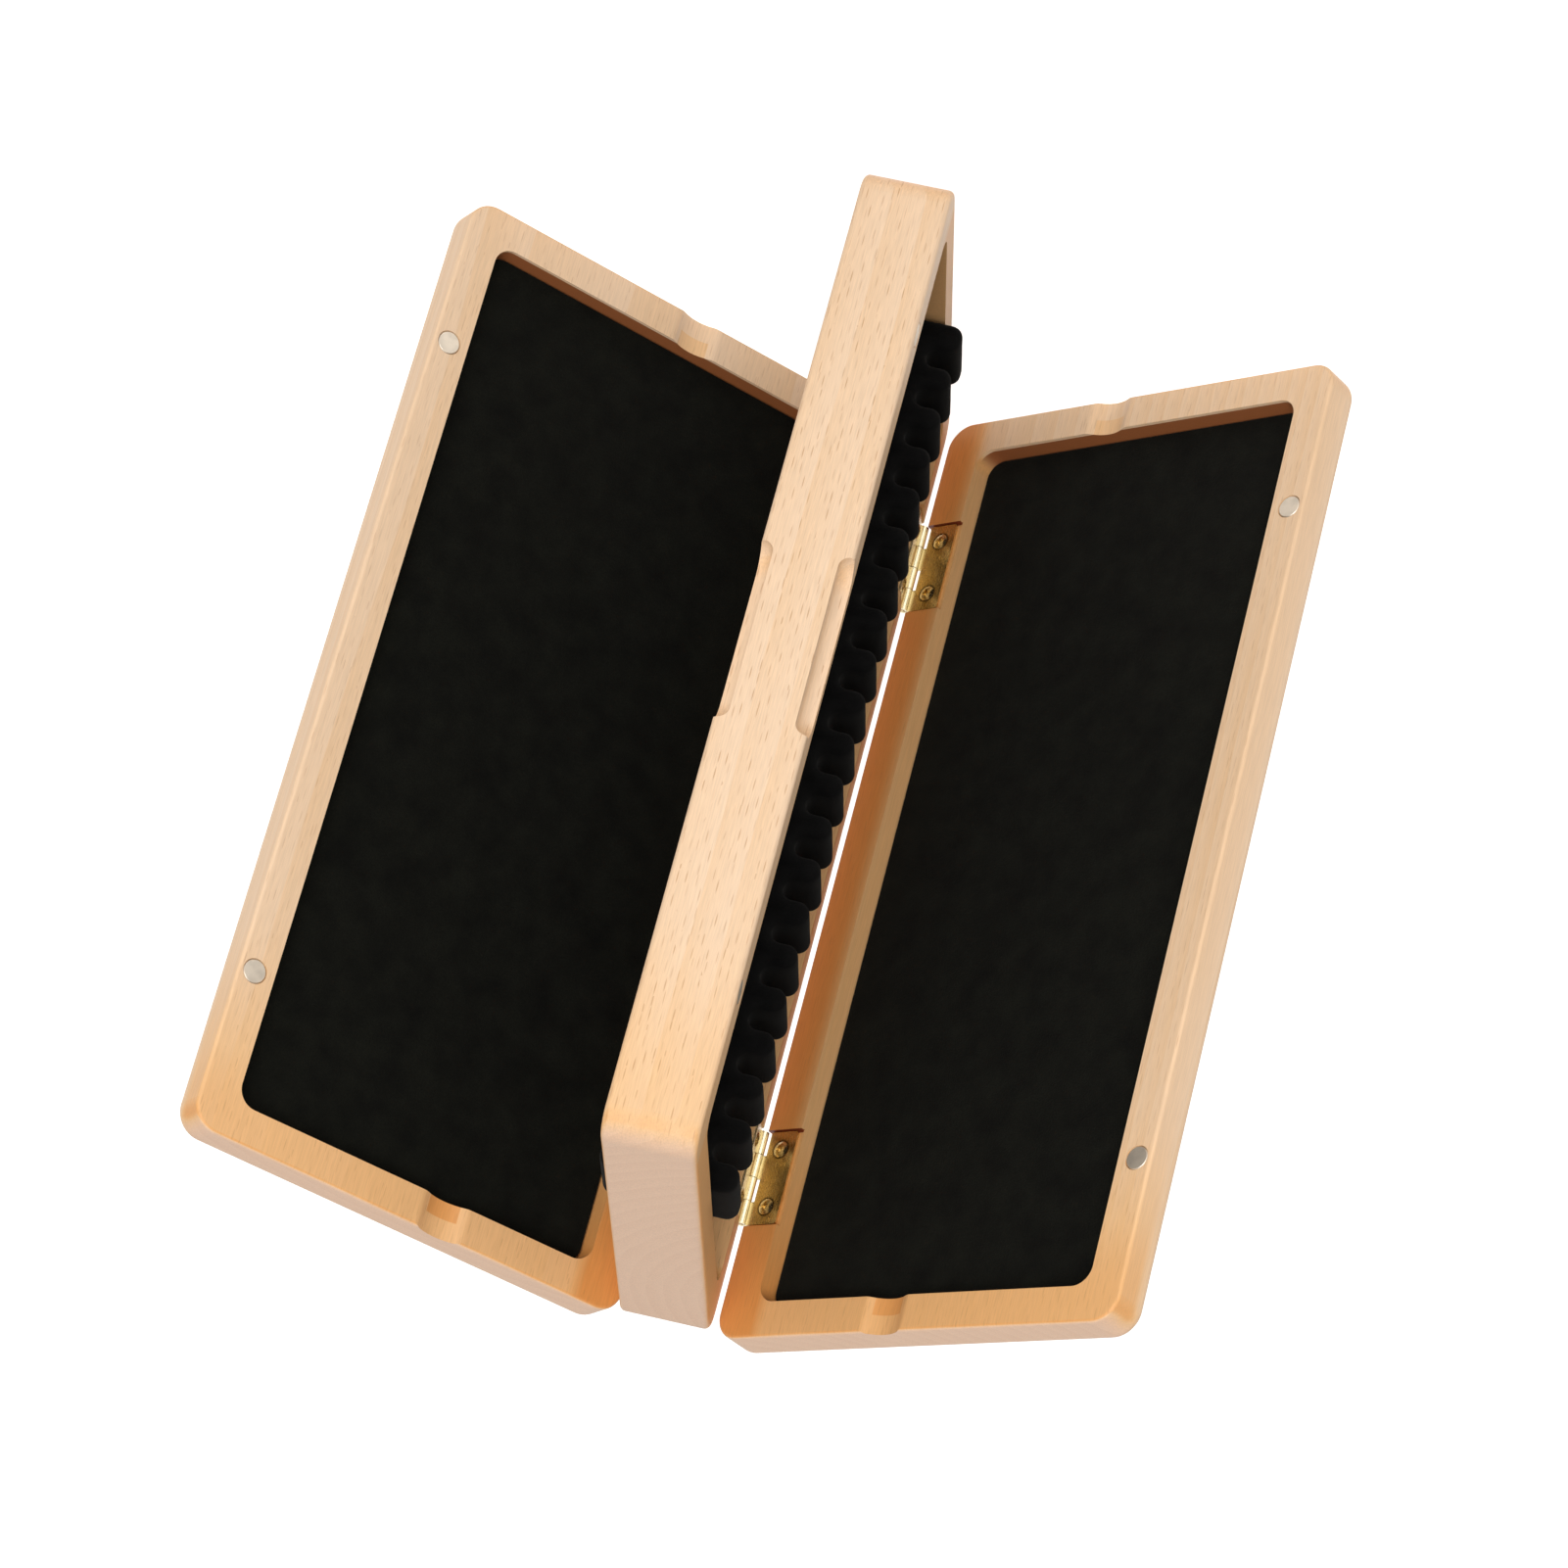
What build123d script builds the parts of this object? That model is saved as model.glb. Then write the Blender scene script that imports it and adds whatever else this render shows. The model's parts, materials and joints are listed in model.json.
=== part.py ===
from build123d import *
from math import atan2, cos, radians, sin
import os

os.makedirs("parts", exist_ok=True)

# Reed case, millimetres. It stands on one end like an open book: +Z runs up its length,
# -Y is the front edge, +Y the hinged edge. The origin is the middle of the frame's lower end.

# The three boards
case_length = 208.0
case_width = 97.5
frame_thickness = 18.0
lid_thickness = 8.8
outer_corner_radius = 5.5
frame_edge_round = 1.2
lid_outer_round = 2.1
lid_rim_round = 0.7
closed_gap = 0.2

# Walls round the recesses
end_wall = 7.5
front_wall = 7.8
back_wall = 9.0
inner_corner_radius = 4.0
web_thickness = 3.0
lid_recess_depth = 5.2

# How far each lid stands open, from closed
left_rest_angle = 52.6
right_rest_angle = 55.5

# Channels across both end rims of a lid
channel_width = 11.0
channel_depth = 1.6
channel_from_back = 41.8
channel_shoulder_round = 2.5

# Finger pockets in the frame's front edge
finger_pocket_length = 38.0
finger_pocket_reach = 5.5
finger_pocket_depth = 2.7
finger_pocket_round = 2.3

# Felt sheets
felt_thickness = 1.0
felt_clearance = 0.3

# Reed rails: a wooden comb under padded velvet
rail_width = 16.2
rail_centre_from_front = 47.6
rail_rise = 4.3
rail_end_land = 0.9
rail_end_clearance = 1.0
rib_width = 4.9
groove_width = 4.3
groove_depth = 6.2
velvet_thickness = 0.8
rib_end_round = 1.6

# Magnets
magnet_diameter = 5.0
magnet_thickness = 2.0
magnet_from_front = 3.5
magnet_from_end = 33.3
magnet_recess = 0.05
magnet_clearance = 0.05
magnet_edge = 0.25

# Butt hinges
hinge_length = 20.0
hinge_from_end = 34.5
knuckle_count = 4
knuckle_gap = 0.14
knuckle_slot_clearance = 0.6
barrel_radius = 1.05
pin_radius = 0.5
pin_setback = 0.5
pin_hold_clearance = 0.02
pin_running_clearance = 0.05
pin_edge = 0.15
leaf_reach = 8.5
leaf_thickness = 0.55
leaf_corner_radius = 0.6
mortise_clearance = 0.4
mortise_chamfer = 1.1

# Hinge screws
screw_spacing = 12.4
screw_from_pin = 5.0
screw_length = 6.0
screw_head_diameter = 3.4
screw_head_dome = 0.45
screw_shank_diameter = 1.4
screw_tip_length = 1.5
screw_clearance = 0.05
cross_span = 1.9
cross_slot = 0.5
cross_depth = 0.75

# Every cut runs past the surface by this much
overrun = 1.0

# Places worked out from the sizes above
LEFT, RIGHT = -1, 1
SIDE_NAMES = {LEFT: "left", RIGHT: "right"}
REST_ANGLES = {LEFT: left_rest_angle, RIGHT: right_rest_angle}
mid_length = case_length / 2
rim_depth = closed_gap / 2
pin_offset = frame_thickness / 2 + rim_depth
pin_y = case_width / 2 + pin_setback
board_centre = pin_setback + case_width / 2
recess_width = case_width - front_wall - back_wall
recess_length = case_length - 2 * end_wall
recess_centre = pin_setback + back_wall + recess_width / 2
bay_depth = (frame_thickness - web_thickness) / 2
knuckle_pitch = hinge_length / knuckle_count
hinge_heights = {"lower": hinge_from_end, "upper": case_length - hinge_from_end}
head_radius = screw_head_diameter / 2
shank_radius = screw_shank_diameter / 2
head_height = head_radius - shank_radius
screw_shifts = (-screw_spacing / 2, screw_spacing / 2)
cone_angle = 90


def along(side, board):
    """Direction from the hinge pin across a board, towards its front edge."""
    angle = radians(REST_ANGLES[side] if board == "lid" else 0)
    return Vector(side * sin(angle), -cos(angle), 0)


def into(side, board):
    """Direction from the joint between the rims into a board's wood."""
    if board == "frame":
        return Vector(-side, 0, 0)
    angle = radians(REST_ANGLES[side])
    return Vector(side * cos(angle), sin(angle), 0)


def pin_point(side, height):
    """The hinge pin's axis at a height."""
    return Vector(side * pin_offset, pin_y, height)


def board_plane(side, board, depth):
    """Plane over a board at a depth from the pin, its normal into the wood."""
    origin = pin_point(side, mid_length) + into(side, board) * depth
    return Plane(origin=origin, x_dir=along(side, board), z_dir=into(side, board))


def seat_plane(side, board, depth):
    """The same plane with its normal out of the wood."""
    origin = pin_point(side, mid_length) + into(side, board) * depth
    return Plane(origin=origin, x_dir=along(side, board), z_dir=-into(side, board))


def section_plane(side, board, height):
    """Plane across the pin at a height: X across the board, Y into its wood."""
    normal = along(side, board).cross(into(side, board))
    return Plane(origin=pin_point(side, height), x_dir=along(side, board), z_dir=normal)


def screw_places():
    """Screw centres of one lid or one face of the frame, on its plane."""
    half_span = mid_length - hinge_from_end
    return [(screw_from_pin, sign * half_span + shift) for sign in (-1, 1) for shift in screw_shifts]


def magnet_places():
    """Magnet centres on a rim plane."""
    across = pin_setback + case_width - magnet_from_front
    half_span = mid_length - magnet_from_end
    return [(across, -half_span), (across, half_span)]


def save(builder, name):
    """Label a finished piece and write it."""
    builder.part.label = name
    export_step(builder.part, f"parts/{name}.step")


# Cuts that a lid and each face of the frame share
def hinge_and_magnet_seats(side, board):
    """The two mortises with their screw holes, and the magnet holes, as one cutter."""
    with BuildPart() as cutter:
        for height in hinge_heights.values():
            with BuildSketch(section_plane(side, board, height)):
                with BuildLine():
                    front = recess_centre - recess_width / 2 + overrun
                    chamfer_end = pin_setback + mortise_chamfer
                    Polyline(
                        (-overrun, -overrun),
                        (front, -overrun),
                        (front, barrel_radius),
                        (chamfer_end, barrel_radius),
                        (-overrun, barrel_radius + chamfer_end + overrun),
                        close=True,
                    )
                make_face()
            extrude(amount=hinge_length / 2 + mortise_clearance, both=True)
        sink_radius = head_radius - leaf_thickness + screw_clearance
        hole_radius = shank_radius + screw_clearance
        sink_depth = sink_radius - hole_radius
        hole_depth = screw_length - leaf_thickness + screw_clearance
        with Locations(seat_plane(side, board, barrel_radius)):
            with Locations(*screw_places()):
                Cone(hole_radius, sink_radius, sink_depth, align=(Align.CENTER, Align.CENTER, Align.MAX))
                Cylinder(hole_radius, hole_depth, align=(Align.CENTER, Align.CENTER, Align.MAX))
        seat_depth = magnet_recess + magnet_thickness
        with BuildSketch(board_plane(side, board, rim_depth - overrun)):
            with Locations(*magnet_places()):
                Circle(magnet_diameter / 2 + magnet_clearance)
        extrude(amount=overrun + seat_depth)
    return cutter.part


def finger_pocket(side):
    """The cutter of one finger pocket, round at its bottom like the tool that milled it."""
    with BuildPart() as pocket:
        with BuildSketch(board_plane(side, "frame", rim_depth)):
            with Locations((pin_setback + case_width, 0)):
                SlotOverall(finger_pocket_length, 2 * finger_pocket_reach, rotation=90)
        extrude(amount=finger_pocket_depth)
        inwards = Axis((0, 0, 0), into(side, "frame"))
        fillet(pocket.faces().sort_by(inwards)[-1].edges(), finger_pocket_round)
    return pocket.part


# Centre frame: one board with a bay milled into each face, leaving a web between them
with BuildPart() as centre_frame:
    with BuildSketch(Plane(origin=(0, 0, mid_length), x_dir=(0, -1, 0), z_dir=(1, 0, 0))):
        RectangleRounded(case_width, case_length, outer_corner_radius)
    extrude(amount=frame_thickness / 2, both=True)
    face_edges = faces().sort_by(Axis.X)[0].edges() + faces().sort_by(Axis.X)[-1].edges()
    fillet(face_edges, frame_edge_round)
    for side in SIDE_NAMES:
        with BuildSketch(board_plane(side, "frame", rim_depth)):
            with Locations((recess_centre, 0)):
                RectangleRounded(recess_width, recess_length, inner_corner_radius)
        extrude(amount=bay_depth, mode=Mode.SUBTRACT)
        add(finger_pocket(side), mode=Mode.SUBTRACT)
        add(hinge_and_magnet_seats(side, "frame"), mode=Mode.SUBTRACT)
save(centre_frame, "centre_frame")


# Lids: shallow milled trays
def make_lid(side):
    """One lid at its rest angle."""
    rim = board_plane(side, "lid", rim_depth)
    outwards = Axis(rim.origin, rim.z_dir)
    with BuildPart() as lid:
        with BuildSketch(rim):
            with Locations((board_centre, 0)):
                RectangleRounded(case_width, case_length, outer_corner_radius)
        extrude(amount=lid_thickness)
        fillet(lid.faces().sort_by(outwards)[-1].edges(), lid_outer_round)
        fillet(lid.faces().sort_by(outwards)[0].edges(), lid_rim_round)
        with BuildSketch(rim):
            with Locations((recess_centre, 0)):
                RectangleRounded(recess_width, recess_length, inner_corner_radius)
        extrude(amount=lid_recess_depth, mode=Mode.SUBTRACT)
        with BuildSketch(section_plane(side, "lid", mid_length)):
            with BuildLine():
                centre = pin_setback + channel_from_back
                shoulder, cove = channel_arcs()
                for flip in (-1, 1):
                    points = [(centre + flip * across, rim_depth + down) for across, down in shoulder]
                    ThreePointArc(*points)
                points = [(centre + across, rim_depth + down) for across, down in cove]
                ThreePointArc(*points)
                low, high = centre - channel_width / 2, centre + channel_width / 2
                Polyline((high, rim_depth), (high, -overrun), (low, -overrun), (low, rim_depth))
            make_face()
        extrude(amount=mid_length + overrun, both=True, mode=Mode.SUBTRACT)
        add(hinge_and_magnet_seats(side, "lid"), mode=Mode.SUBTRACT)
    return lid


def channel_arcs():
    """A channel's shoulder and cove, tangent where they meet, from its middle and the rim."""
    half_width = channel_width / 2
    slope = 2 * atan2(channel_depth, half_width)
    cove_radius = half_width / sin(slope) - channel_shoulder_round
    shoulder = [
        (half_width - channel_shoulder_round * sin(turn), channel_shoulder_round * (1 - cos(turn)))
        for turn in (0, slope / 2, slope)
    ]
    cove = [
        (cove_radius * sin(turn), channel_depth - cove_radius * (1 - cos(turn)))
        for turn in (-slope, 0, slope)
    ]
    return shoulder, cove


for side, name in SIDE_NAMES.items():
    save(make_lid(side), f"{name}_lid")


# Felt sheets on the recess floors
rail_from_pin = pin_setback + case_width - rail_centre_from_front
bay_floor = rim_depth + bay_depth
lid_floor = rim_depth + lid_recess_depth
rib_pitch = rib_width + groove_width
end_share = rail_end_clearance + rail_end_land
groove_count = int((recess_length - 2 * end_share - rib_width) // rib_pitch)
rail_length = groove_count * rib_pitch + rib_width + 2 * rail_end_land
rail_height = bay_depth + rail_rise

for side, name in SIDE_NAMES.items():
    with BuildPart() as lid_felt:
        with BuildSketch(board_plane(side, "lid", lid_floor)):
            with Locations((recess_centre, 0)):
                RectangleRounded(
                    recess_width - 2 * felt_clearance,
                    recess_length - 2 * felt_clearance,
                    inner_corner_radius - felt_clearance,
                )
        extrude(amount=-felt_thickness)
    save(lid_felt, f"{name}_lid_felt")

    with BuildPart() as bay_felt:
        with BuildSketch(board_plane(side, "frame", bay_floor)):
            with Locations((recess_centre, 0)):
                RectangleRounded(
                    recess_width - 2 * felt_clearance,
                    recess_length - 2 * felt_clearance,
                    inner_corner_radius - felt_clearance,
                )
            with Locations((rail_from_pin, 0)):
                Rectangle(
                    rail_width + 2 * felt_clearance,
                    rail_length + 2 * felt_clearance,
                    mode=Mode.SUBTRACT,
                )
        extrude(amount=-felt_thickness)
    save(bay_felt, f"{name}_bay_felt")


# Reed rails: round-topped ribs and round-bottomed grooves, one reed to a groove
def make_ribs(side, skin):
    """The ribbed rail, drawn in all round by a skin's thickness."""
    crest_radius = rib_width / 2 - skin
    valley_radius = groove_width / 2 + skin
    crest_centre = rail_height - rib_width / 2
    valley_centre = rail_height - groove_depth + groove_width / 2
    crest_top = crest_centre + crest_radius
    valley_bottom = valley_centre - valley_radius
    base = Plane(
        origin=(side * web_thickness / 2, pin_y - rail_from_pin, mid_length),
        x_dir=(0, 0, 1),
        z_dir=(0, side, 0),
    )
    with BuildPart() as ribs:
        with BuildSketch(base):
            with BuildLine():
                for rib in range(groove_count + 1):
                    middle = (rib - groove_count / 2) * rib_pitch
                    left, right = middle - crest_radius, middle + crest_radius
                    if 0 < rib < groove_count:
                        ThreePointArc((left, crest_centre), (middle, crest_top), (right, crest_centre))
                    else:
                        land_start = middle - (rail_end_land if rib == 0 else 0)
                        land_end = middle + (rail_end_land if rib == groove_count else 0)
                        CenterArc((land_start, crest_centre), crest_radius, 90, 90)
                        Line((land_start, crest_top), (land_end, crest_top))
                        CenterArc((land_end, crest_centre), crest_radius, 0, 90)
                    if rib == groove_count:
                        continue
                    next_left = middle + rib_pitch - crest_radius
                    valley = (middle + rib_pitch / 2, valley_bottom)
                    Line((right, crest_centre), (right, valley_centre))
                    ThreePointArc((right, valley_centre), valley, (next_left, valley_centre))
                    Line((next_left, valley_centre), (next_left, crest_centre))
                end = rail_length / 2 - skin
                Polyline((end, crest_centre), (end, 0), (-end, 0), (-end, crest_centre))
            make_face()
        extrude(amount=rail_width / 2 - skin, both=True)
    return ribs


for side, name in SIDE_NAMES.items():
    rail_comb = make_ribs(side, velvet_thickness)
    save(rail_comb, f"{name}_rail_comb")
    padding = make_ribs(side, 0)
    with BuildPart() as rail_velvet:
        add(padding.part)
        ends = faces().sort_by(Axis.Y)
        foot_height = web_thickness / 2 + overrun
        rib_ends = (ends[0].edges() + ends[-1].edges()).filter_by(
            lambda edge: abs(edge.center().X) > foot_height
        )
        fillet(rib_ends, rib_end_round)
        add(rail_comb.part, mode=Mode.SUBTRACT)
    save(rail_velvet, f"{name}_rail_velvet")


# Magnets, set just under the rims
for side, name in SIDE_NAMES.items():
    for board in ("frame", "lid"):
        with BuildPart() as magnets:
            with BuildSketch(board_plane(side, board, rim_depth + magnet_recess)):
                with Locations(*magnet_places()):
                    Circle(magnet_diameter / 2)
            extrude(amount=magnet_thickness)
            chamfer(edges(), magnet_edge)
        save(magnets, f"{name}_{board}_magnets")


# Butt hinges: the frame's leaf has knuckles one and three from below, the lid's two and four
def make_leaf(side, board, height):
    """One leaf, flat in its mortise, with its own knuckles round the pin."""
    own = 0 if board == "frame" else 1
    pin_hole = pin_radius + (pin_hold_clearance if board == "frame" else pin_running_clearance)
    lowest = height - hinge_length / 2
    middles = [lowest + (index + 1 / 2) * knuckle_pitch for index in range(knuckle_count)]
    leaf_face = seat_plane(side, board, barrel_radius - leaf_thickness)
    offset = leaf_face.to_local_coords(pin_point(side, height)).Y
    with BuildPart() as leaf:
        with BuildSketch(leaf_face) as plate:
            with Locations((leaf_reach / 2, offset)):
                Rectangle(leaf_reach, hinge_length)
            fillet(plate.vertices().group_by(Axis.X)[-1], leaf_corner_radius)
        extrude(amount=-leaf_thickness)
        for index, middle in enumerate(middles):
            if index % 2 != own:
                with BuildSketch(section_plane(side, board, middle)):
                    Rectangle(
                        2 * (barrel_radius + knuckle_slot_clearance),
                        2 * (barrel_radius + overrun),
                    )
                extrude(amount=knuckle_pitch / 2, both=True, mode=Mode.SUBTRACT)
        for index, middle in enumerate(middles):
            if index % 2 == own:
                with BuildSketch(section_plane(side, board, middle)):
                    Circle(barrel_radius)
                extrude(amount=(knuckle_pitch - knuckle_gap) / 2, both=True)
        with BuildSketch(section_plane(side, board, height)):
            Circle(pin_hole)
        extrude(amount=hinge_length, both=True, mode=Mode.SUBTRACT)
        with Locations(leaf_face):
            with Locations(*[(screw_from_pin, offset + shift) for shift in screw_shifts]):
                CounterSinkHole(
                    shank_radius + screw_clearance,
                    head_radius + screw_clearance,
                    leaf_thickness + overrun,
                    cone_angle,
                )
    return leaf


def make_pin(side, height):
    """The hinge pin, its ends flush with the outer knuckles."""
    with BuildPart() as pin:
        with BuildSketch(section_plane(side, "frame", height)):
            Circle(pin_radius)
        extrude(amount=hinge_length / 2, both=True)
        chamfer(edges().filter_by(GeomType.CIRCLE), pin_edge)
    return pin


def make_screws(side, board, height):
    """The two countersunk cross-head screws of one leaf."""
    outwards = -into(side, board)
    leaf_face = seat_plane(side, board, barrel_radius - leaf_thickness)
    offset = leaf_face.to_local_coords(pin_point(side, height)).Y
    with BuildPart() as screws:
        for shift in screw_shifts:
            centre = leaf_face.from_local_coords((screw_from_pin, offset + shift, 0))
            profile = Plane(origin=centre, x_dir=(0, 0, 1), z_dir=Vector(0, 0, 1).cross(outwards))
            with BuildSketch(profile):
                with BuildLine():
                    top = (0, screw_head_dome)
                    shoulder = head_radius / 2
                    rim = (head_radius, 0)
                    ThreePointArc(top, (shoulder, dome_height(shoulder)), rim)
                    Polyline(
                        rim,
                        (shank_radius, -head_height),
                        (shank_radius, screw_tip_length - screw_length),
                        (0, -screw_length),
                        top,
                    )
                make_face()
            revolve(axis=Axis(centre, outwards))
            with Locations(leaf_face):
                with Locations((screw_from_pin, offset + shift, screw_head_dome)):
                    for turn in (0, 90):
                        Box(
                            cross_span,
                            cross_slot,
                            cross_depth,
                            rotation=(0, 0, turn),
                            align=(Align.CENTER, Align.CENTER, Align.MAX),
                            mode=Mode.SUBTRACT,
                        )
    return screws


def dome_height(radius):
    """Height of the screw head's dome above the leaf at a radius from its middle."""
    dome_radius = (head_radius**2 + screw_head_dome**2) / (2 * screw_head_dome)
    return (dome_radius**2 - radius**2) ** 0.5 - dome_radius + screw_head_dome


for side, name in SIDE_NAMES.items():
    for place, height in hinge_heights.items():
        hinge = f"{name}_{place}_hinge"
        save(make_pin(side, height), f"{hinge}_pin")
        for board in ("frame", "lid"):
            save(make_leaf(side, board, height), f"{hinge}_{board}_leaf")
            save(make_screws(side, board, height), f"{hinge}_{board}_screws")

print("grooves a side:", groove_count, "rail length:", round(rail_length, 2))
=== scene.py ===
"""Oboe reed case: wood, cloth and metal finishes, the cloth pieces, the stage and the camera."""

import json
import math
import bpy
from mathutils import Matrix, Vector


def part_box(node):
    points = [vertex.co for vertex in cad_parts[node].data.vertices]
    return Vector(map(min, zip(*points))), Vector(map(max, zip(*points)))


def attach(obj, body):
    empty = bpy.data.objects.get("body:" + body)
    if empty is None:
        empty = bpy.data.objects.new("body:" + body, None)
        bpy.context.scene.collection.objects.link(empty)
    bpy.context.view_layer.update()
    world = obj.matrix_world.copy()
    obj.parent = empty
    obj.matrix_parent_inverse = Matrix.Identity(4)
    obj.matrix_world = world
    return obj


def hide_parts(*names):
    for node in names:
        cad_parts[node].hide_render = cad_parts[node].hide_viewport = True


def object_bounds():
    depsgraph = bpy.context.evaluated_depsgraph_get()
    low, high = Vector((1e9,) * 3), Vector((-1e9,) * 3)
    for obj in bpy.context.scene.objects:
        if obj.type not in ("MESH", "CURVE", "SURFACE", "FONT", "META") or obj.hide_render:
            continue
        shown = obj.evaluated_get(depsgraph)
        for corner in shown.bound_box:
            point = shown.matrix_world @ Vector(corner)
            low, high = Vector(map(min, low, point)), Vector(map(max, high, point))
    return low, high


bl_info = {
    "name": "Oboe Reed Case",
    "version": (1, 0, 0),
    "blender": (4, 5, 0),
    "location": "3D View > Sidebar > Reed Case",
    "description": "Dresses an open oboe reed case in beech, felt, velvet, brass and nickel",
    "category": "Add Mesh",
}

from types import SimpleNamespace

import bmesh
import bpy
from bpy.props import FloatProperty, FloatVectorProperty, IntProperty, PointerProperty
from bpy.types import Operator, Panel, PropertyGroup
from mathutils import Euler, Matrix, Vector

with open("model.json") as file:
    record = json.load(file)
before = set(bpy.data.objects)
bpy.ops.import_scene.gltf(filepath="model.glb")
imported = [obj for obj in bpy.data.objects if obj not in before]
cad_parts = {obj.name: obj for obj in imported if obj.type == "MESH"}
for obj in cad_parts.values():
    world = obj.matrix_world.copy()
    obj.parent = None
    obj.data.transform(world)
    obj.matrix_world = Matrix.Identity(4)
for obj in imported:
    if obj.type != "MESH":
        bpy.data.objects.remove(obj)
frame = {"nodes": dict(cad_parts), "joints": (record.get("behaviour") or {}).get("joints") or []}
CAD_BOX = [list(corner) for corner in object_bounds()]
MM = 0.001
HALF_LENGTH = CAD_BOX[1][2] / 2
SIDES = {"left": -1, "right": 1}
# How deep the lids' rims are coloured away from the hinged edge: oil and painted shade, set for
# each lid
RIM_OIL_AND_SHADE = {"left": 0.1, "right": 0.04}
# Sizes of the patterns, across and along the piece
WOOD_TONE = (11.11 * MM, 11.11 * MM, 45.45 * MM)
DULL_PATCH = 3.846 * MM
VELVET_DRIFT = 3.846 * MM
# Real scratches are too fine to show, so only nine, four or six are drawn to a millimetre
SHEET_SCRATCH = (MM / 9, MM / 9, MM / 0.7)
TURNED_SCRATCH = (MM / 4, MM / 4, MM / 4)
PLATE_SCRATCH = (MM / 6, MM / 6, MM / 1.5)


def linear(hex_colour):
    """Linear colour of an sRGB hex value."""
    channels = [int(hex_colour[at:at + 2], 16) / 255 for at in (0, 2, 4)]
    return [c / 12.92 if c <= 0.04045 else ((c + 0.055) / 1.055) ** 2.4 for c in channels]


def colour_property(name, hex_colour, description):
    """A colour that a user may change."""
    return FloatVectorProperty(
        name=name, description=description, subtype="COLOR", size=3, min=0, max=1,
        default=linear(hex_colour))


def length_property(name, millimetres, description):
    """A length that a user may change."""
    return FloatProperty(
        name=name, description=description, subtype="DISTANCE", unit="LENGTH", min=0,
        default=millimetres * MM, precision=5)


def share_property(name, share, description):
    """A share from nothing to all."""
    return FloatProperty(
        name=name, description=description, subtype="FACTOR", min=0, max=1, default=share)


def power_property(name, watts, description):
    """A lamp's power that a user may change."""
    return FloatProperty(
        name=name, description=description, unit="POWER", min=0, default=watts)


class ReedCaseWood(PropertyGroup):
    """The beech of the three boards and the rails' combs."""

    face_colour: colour_property("Face", "f4d7b8", "Palest wood between the growth rings")
    deep_colour: colour_property("Late Wood", "ecc598", "Denser wood of the growth rings")
    # Honey and Oiled are the tones that oil and painted shade deepen the wood to
    honey_colour: colour_property("Honey", "f1bf82", "Wood that has taken up some of the oil")
    deep_orange_colour: colour_property("Oiled", "e39b54", "Wood where the oil has soaked in most")
    recess_shade_colour: colour_property("Soaked", "a06138", "Cut ends in a recess, which soak up oil")
    # Painted shade: the cut end walls inside a recess, which lie in shade, are painted this dark
    # orange-brown
    fleck_colour: colour_property("Ray Flecks", "b3804f", "The short dark rays in the grain")
    end_colour: colour_property("End Grain", "f1cfb4", "Wood cut across its fibres")
    end_ring_colour: colour_property("End Rings", "e9c4a8", "Growth rings on the cut ends")
    # Burnt wood with painted shade: the mortise's lower end wall is both scorched and shaded
    burnt_and_shade_colour: colour_property("Burnt", "843c1c", "Mortise end that the cutter has scorched")
    ring_spacing: length_property("Ring Spacing", 3.4, "Width of one year's growth")
    fleck_space: length_property("Fleck Space", 1.5, "Space across the grain for each ray fleck")
    fleck_stride: length_property("Fleck Stride", 4.0, "Space along the grain for each ray fleck")
    fleck_width: length_property("Fleck Width", 0.3, "Width of a ray fleck")
    fleck_length: length_property("Fleck Length", 3.4, "Length of a ray fleck along the grain")
    fibre_width: length_property("Fibre Width", 0.25, "Width of a bundle of fibres")
    # Strength of the oil and the painted shade at the hinged edges, in the recesses and on the
    # frame's sides
    deepening_strength: share_property("Oiling", 0.95, "How much deeper the oil shows at the hinged edges")
    roughness: share_property("Roughness", 0.5, "Roughness of the sanded and oiled faces")


class ReedCaseCloth(PropertyGroup):
    """The felt sheets and the velvet on the reed rails."""

    felt_colour: colour_property("Felt", "0d0e0a", "Pressed black felt")
    velvet_colour: colour_property("Velvet", "0a0a0a", "Black velvet, seen into its pile")
    nap_colour: colour_property("Nap", "8c8a86", "Light that the tips of the fibres catch")
    felt_fibre: length_property("Felt Fibre", 0.35, "Size of the felt's tufts")
    velvet_fibre: length_property("Velvet Fibre", 0.25, "Size of the velvet's tufts")
    felt_sheen: share_property("Felt Sheen", 0.25, "Light that the felt's nap catches")
    velvet_sheen: share_property("Velvet Sheen", 0.12, "Light that the velvet's nap catches")
    felt_corner: length_property("Felt Corner", 3.7, "Rounding of a felt sheet's corners")
    felt_thickness: length_property("Felt Thickness", 1.0, "Thickness of a felt sheet")
    felt_edge: length_property("Felt Edge", 0.3, "Rounding of a felt sheet's cut edge")
    velvet_thickness: length_property("Velvet Thickness", 0.7, "Thickness of the velvet skin")
    rib_width: length_property("Rib Width", 4.9, "Width of one rib along the rail")
    groove_width: length_property("Groove Width", 4.3, "Width of the groove that holds a reed")
    groove_depth: length_property("Groove Depth", 6.2, "Depth of a groove below the ribs")
    rail_end_land: length_property("Rail End Land", 0.9, "Extra width of the two end ribs")
    rib_end_round: length_property("Rib End Round", 1.7, "Rounding of the velvet over a rib's ends")
    unevenness: length_property("Unevenness", 0.1, "How far the velvet wanders from true")
    groove_count: IntProperty(
        name="Grooves", description="Reeds that one rail holds", default=20, min=1, max=60)
    seed: FloatProperty(
        name="Seed", description="Choice of the velvet's unevenness", default=3.0, min=0, max=100)


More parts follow.
